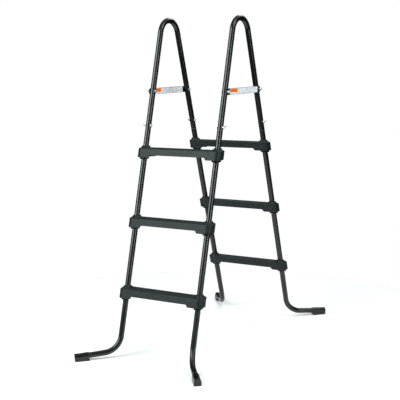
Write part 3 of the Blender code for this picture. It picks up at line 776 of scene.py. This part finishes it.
for sideName, side in sides.items():
    addPiece(f"spreader_{sideName}", makePlate(*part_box(f"spreader_plate_{sideName}")), platePlastic,
             [f"spreader_plate_{sideName}"], edge=plate["edge"])
    labelLow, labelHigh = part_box(f"label_{sideName}")
    if sideName == "left":
        film = makeLabelFilm(labelLow, labelHigh)
    addPiece(f"filmLabel_{sideName}", makeLabel(labelLow, labelHigh), film,
             [f"label_{sideName}"])
print("stage: spreader plates and labels made")

holeRadius = fastener["radius"] + fastener["boreGap"]
for kind in ("handle", "strap"):
    for endName, end in ends.items():
        for sideName, side in sides.items():
            key = f"{endName}_{sideName}"
            boltLow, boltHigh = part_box(f"{kind}_bolt_{key}")
            washerLow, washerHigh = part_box(f"{kind}_washer_{key}")
            nutLow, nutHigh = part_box(f"{kind}_wing_nut_{key}")
            out = Vector((side, 0, 0))
            centre = (boltLow + boltHigh) / 2
            boltIn, washerIn, nutIn = [(low.x if side > 0 else high.x) for low, high in
                                       ((boltLow, boltHigh), (washerLow, washerHigh), (nutLow, nutHigh))]
            length = boltHigh.x - boltLow.x - fastener["head"]
            headFace = Vector((boltIn + side * fastener["head"], centre.y, centre.z))
            bolt = makeBolt(length, abs(nutIn - headFace.x) - fastener["threadLead"])
            addPiece(f"bolt_{kind}_{key}", bolt, zinc, [f"{kind}_bolt_{key}"],
                     turnTo(out, (0, 0, 1), headFace))
            addPiece(f"washer_{kind}_{key}", makeWasher(holeRadius, washerHigh.x - washerLow.x),
                     zinc, [f"{kind}_washer_{key}"],
                     turnTo(out, (0, 0, 1), (washerIn, centre.y, centre.z)))
            across = (0, math.cos(wing["turn"]), side * math.sin(wing["turn"]))
            addPiece(f"wingNut_{kind}_{key}", makeWingNut(holeRadius), zinc,
                     [f"{kind}_wing_nut_{key}"], turnTo(out, across, (nutIn, centre.y, centre.z)),
                     body=f"{kind}_nut_{key}")
print("stage: bolts, washers and wing nuts made")


# Floor, light and camera

studio = {"floor": "#fbfbfa", "floorShade": "#f7f7f6", "floorGlow": 0.1, "floorRadius": 1.35,
          "background": "#ffffff", "surround": 0.02, "overhead": 0.6, "overheadSpread": math.radians(70)}
softboxes = {   # degrees round from the front, distance, middle height, width, height, power, colour
    "left softbox": (-28.0, 3.2, 2.3, 2.2, 2.6, 172.0, "#f0fffd"),
    "right strip": (68.0, 3.0, 1.4, 0.4, 2.2, 46.0, "#f6ffff"),
    "back softbox": (180.0, 2.4, 3.2, 2.2, 1.2, 36.0, "#ffffff"),
    "right fill": (82.0, 1.9, 3.3, 1.5, 1.5, 42.0, "#ffffff")}
camera = {"place": (2.2029, -3.6815, 1.3158), "yaw": 31.32, "pitch": 8.78, "roll": -1.05, "lens": 83.95}


def makeFloor():
    material, tree, shader, place = newMaterial("matt pale floor", Roughness=0.85,
                                                Emission_Color=(1, 1, 1, 1),
                                                Emission_Strength=studio["floorGlow"])
    tone = addNode(tree, "ShaderNodeTexNoise", {"Vector": place, "Scale": 3.0, "Detail": 2.0})
    colour = addNode(tree, "ShaderNodeMix", {0: tone.outputs["Fac"], 6: hexColour(studio["floorShade"]),
                                             7: hexColour(studio["floor"])}, data_type="RGBA")
    feedShader(tree, shader, Base_Color=colour.outputs[2])
    bm = bmesh.new()
    bmesh.ops.create_circle(bm, cap_ends=True, segments=96, radius=studio["floorRadius"])
    mesh = bpy.data.meshes.new("floor")
    bm.to_mesh(mesh)
    bm.free()
    mesh.materials.append(material)
    floor = bpy.data.objects.new("floor", mesh)
    bpy.context.scene.collection.objects.link(floor)


def addSoftbox(name, azimuth, distance, height, width, tall, power, colour):   # faces the ladder's middle
    lamp = bpy.data.lights.new(name, "AREA")
    lamp.shape, lamp.size, lamp.size_y, lamp.energy = "RECTANGLE", width, tall, power
    lamp.color = hexColour(colour)[:3]
    holder = bpy.data.objects.new(name, lamp)
    bpy.context.scene.collection.objects.link(holder)
    angle = math.radians(azimuth)
    place = Vector((distance * math.sin(angle), -distance * math.cos(angle), height))
    holder.matrix_world = turnTo(place - boxCentre("tread_front_middle"), (-place.y, place.x, 0), place)
    holder.visible_camera = False


def makeLight():   # a white background that lights next to nothing, an overhead light and the softboxes
    world = bpy.data.worlds.new("studio")
    bpy.context.scene.world = world
    world.use_nodes = True
    tree = world.node_tree
    tree.nodes.clear()
    seen = addNode(tree, "ShaderNodeBackground", {"Color": hexColour(studio["background"]), "Strength": 1.0})
    soft = addNode(tree, "ShaderNodeBackground", {"Color": (1, 1, 1, 1), "Strength": studio["surround"]})
    path = addNode(tree, "ShaderNodeLightPath")
    mixed = addNode(tree, "ShaderNodeMixShader", {0: path.outputs["Is Camera Ray"], 1: soft.outputs[0],
                                                  2: seen.outputs[0]})
    addNode(tree, "ShaderNodeOutputWorld", {"Surface": mixed.outputs[0]})
    sky = bpy.data.lights.new("overhead", "SUN")
    sky.energy, sky.angle = studio["overhead"], studio["overheadSpread"]
    bpy.context.scene.collection.objects.link(bpy.data.objects.new("overhead", sky))
    for name, settings in softboxes.items():
        addSoftbox(name, *settings)


def makeCamera():   # yaw is degrees round from the front, pitch looks down, roll tips the frame
    yaw, pitch, roll = [math.radians(camera[key]) for key in ("yaw", "pitch", "roll")]
    back = Vector((math.sin(yaw) * math.cos(pitch), -math.cos(yaw) * math.cos(pitch), math.sin(pitch)))
    right = Vector((math.cos(yaw), math.sin(yaw), 0))
    up = back.cross(right)
    turned = Matrix((right * math.cos(roll) + up * math.sin(roll),
                     up * math.cos(roll) - right * math.sin(roll), back)).transposed().to_4x4()
    turned.translation = camera["place"]
    data = bpy.data.cameras.new("camera")
    data.lens, data.sensor_width = camera["lens"], 36
    holder = bpy.data.objects.new("camera", data)
    holder.matrix_world = turned
    bpy.context.scene.collection.objects.link(holder)
    bpy.context.scene.camera = holder


makeFloor()
makeLight()
makeCamera()
bpy.context.scene.view_settings.view_transform = "Standard"
print("stage: floor, light and camera made")

bpy.context.view_layer.update()
